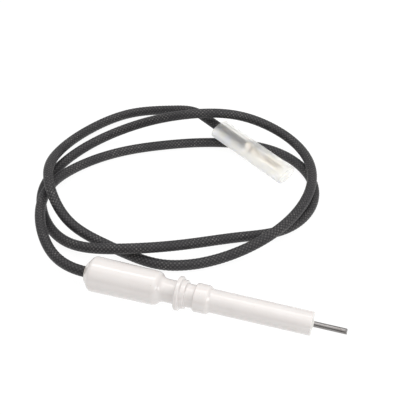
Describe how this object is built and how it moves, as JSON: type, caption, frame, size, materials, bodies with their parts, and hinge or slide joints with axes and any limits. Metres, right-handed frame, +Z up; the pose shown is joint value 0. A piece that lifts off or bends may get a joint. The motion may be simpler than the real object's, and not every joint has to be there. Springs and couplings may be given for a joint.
{
  "type": "ignition electrode",
  "caption": "Ceramic-insulated ignition electrode with a metal rod, a braided high-voltage lead and a quick-connect terminal under a clear sliding boot.",
  "frame": {"origin": "below the middle of the ceramic and its rod, on the surface that the part lies on", "axes": "+X along the ceramic towards the tip of the rod, +Z up from the surface, +Y towards the loops of the lead"},
  "size_m": [0.1656, 0.1369, 0.0207],
  "materials": {
    "glazed_ceramic": "glossy white glaze",
    "cement": "matt grey furnace cement",
    "rod_alloy": "drawn heat-resisting alloy wire",
    "plated_steel": "nickel-plated steel",
    "tinned_copper": "tinned copper wire",
    "silicone_insulation": "matt silicone rubber",
    "charcoal_braid": "charcoal glass-fibre braid",
    "tinned_brass": "tin-plated brass sheet",
    "milky_silicone": "milky translucent silicone"
  },
  "bodies": {
    "electrode": {"ceramic_insulator": "glazed_ceramic", "electrode_rod": "rod_alloy", "nose_cement": "cement", "rear_potting": "cement", "splice_ferrule": "plated_steel", "lead_insulation_front": "silicone_insulation", "conductor_strand_1": "tinned_copper", "conductor_strand_2": "tinned_copper", "conductor_strand_3": "tinned_copper", "conductor_strand_4": "tinned_copper", "conductor_strand_5": "tinned_copper", "conductor_strand_6": "tinned_copper", "conductor_strand_7": "tinned_copper", "ignition_lead": "charcoal_braid", "lead_insulation_end": "silicone_insulation", "terminal_strand_1": "tinned_copper", "terminal_strand_2": "tinned_copper", "terminal_strand_3": "tinned_copper", "terminal_strand_4": "tinned_copper", "terminal_strand_5": "tinned_copper", "terminal_strand_6": "tinned_copper", "terminal_strand_7": "tinned_copper", "quick_connect_terminal": "tinned_brass"},
    "boot": {"terminal_boot": "milky_silicone"}
  },
  "joints": [
    {"name": "boot_slide", "type": "slide", "parent": "electrode", "child": "boot", "axis": [-0.8905, 0.4343, 0.1357], "range_m": [0, 0.012]}
  ]
}
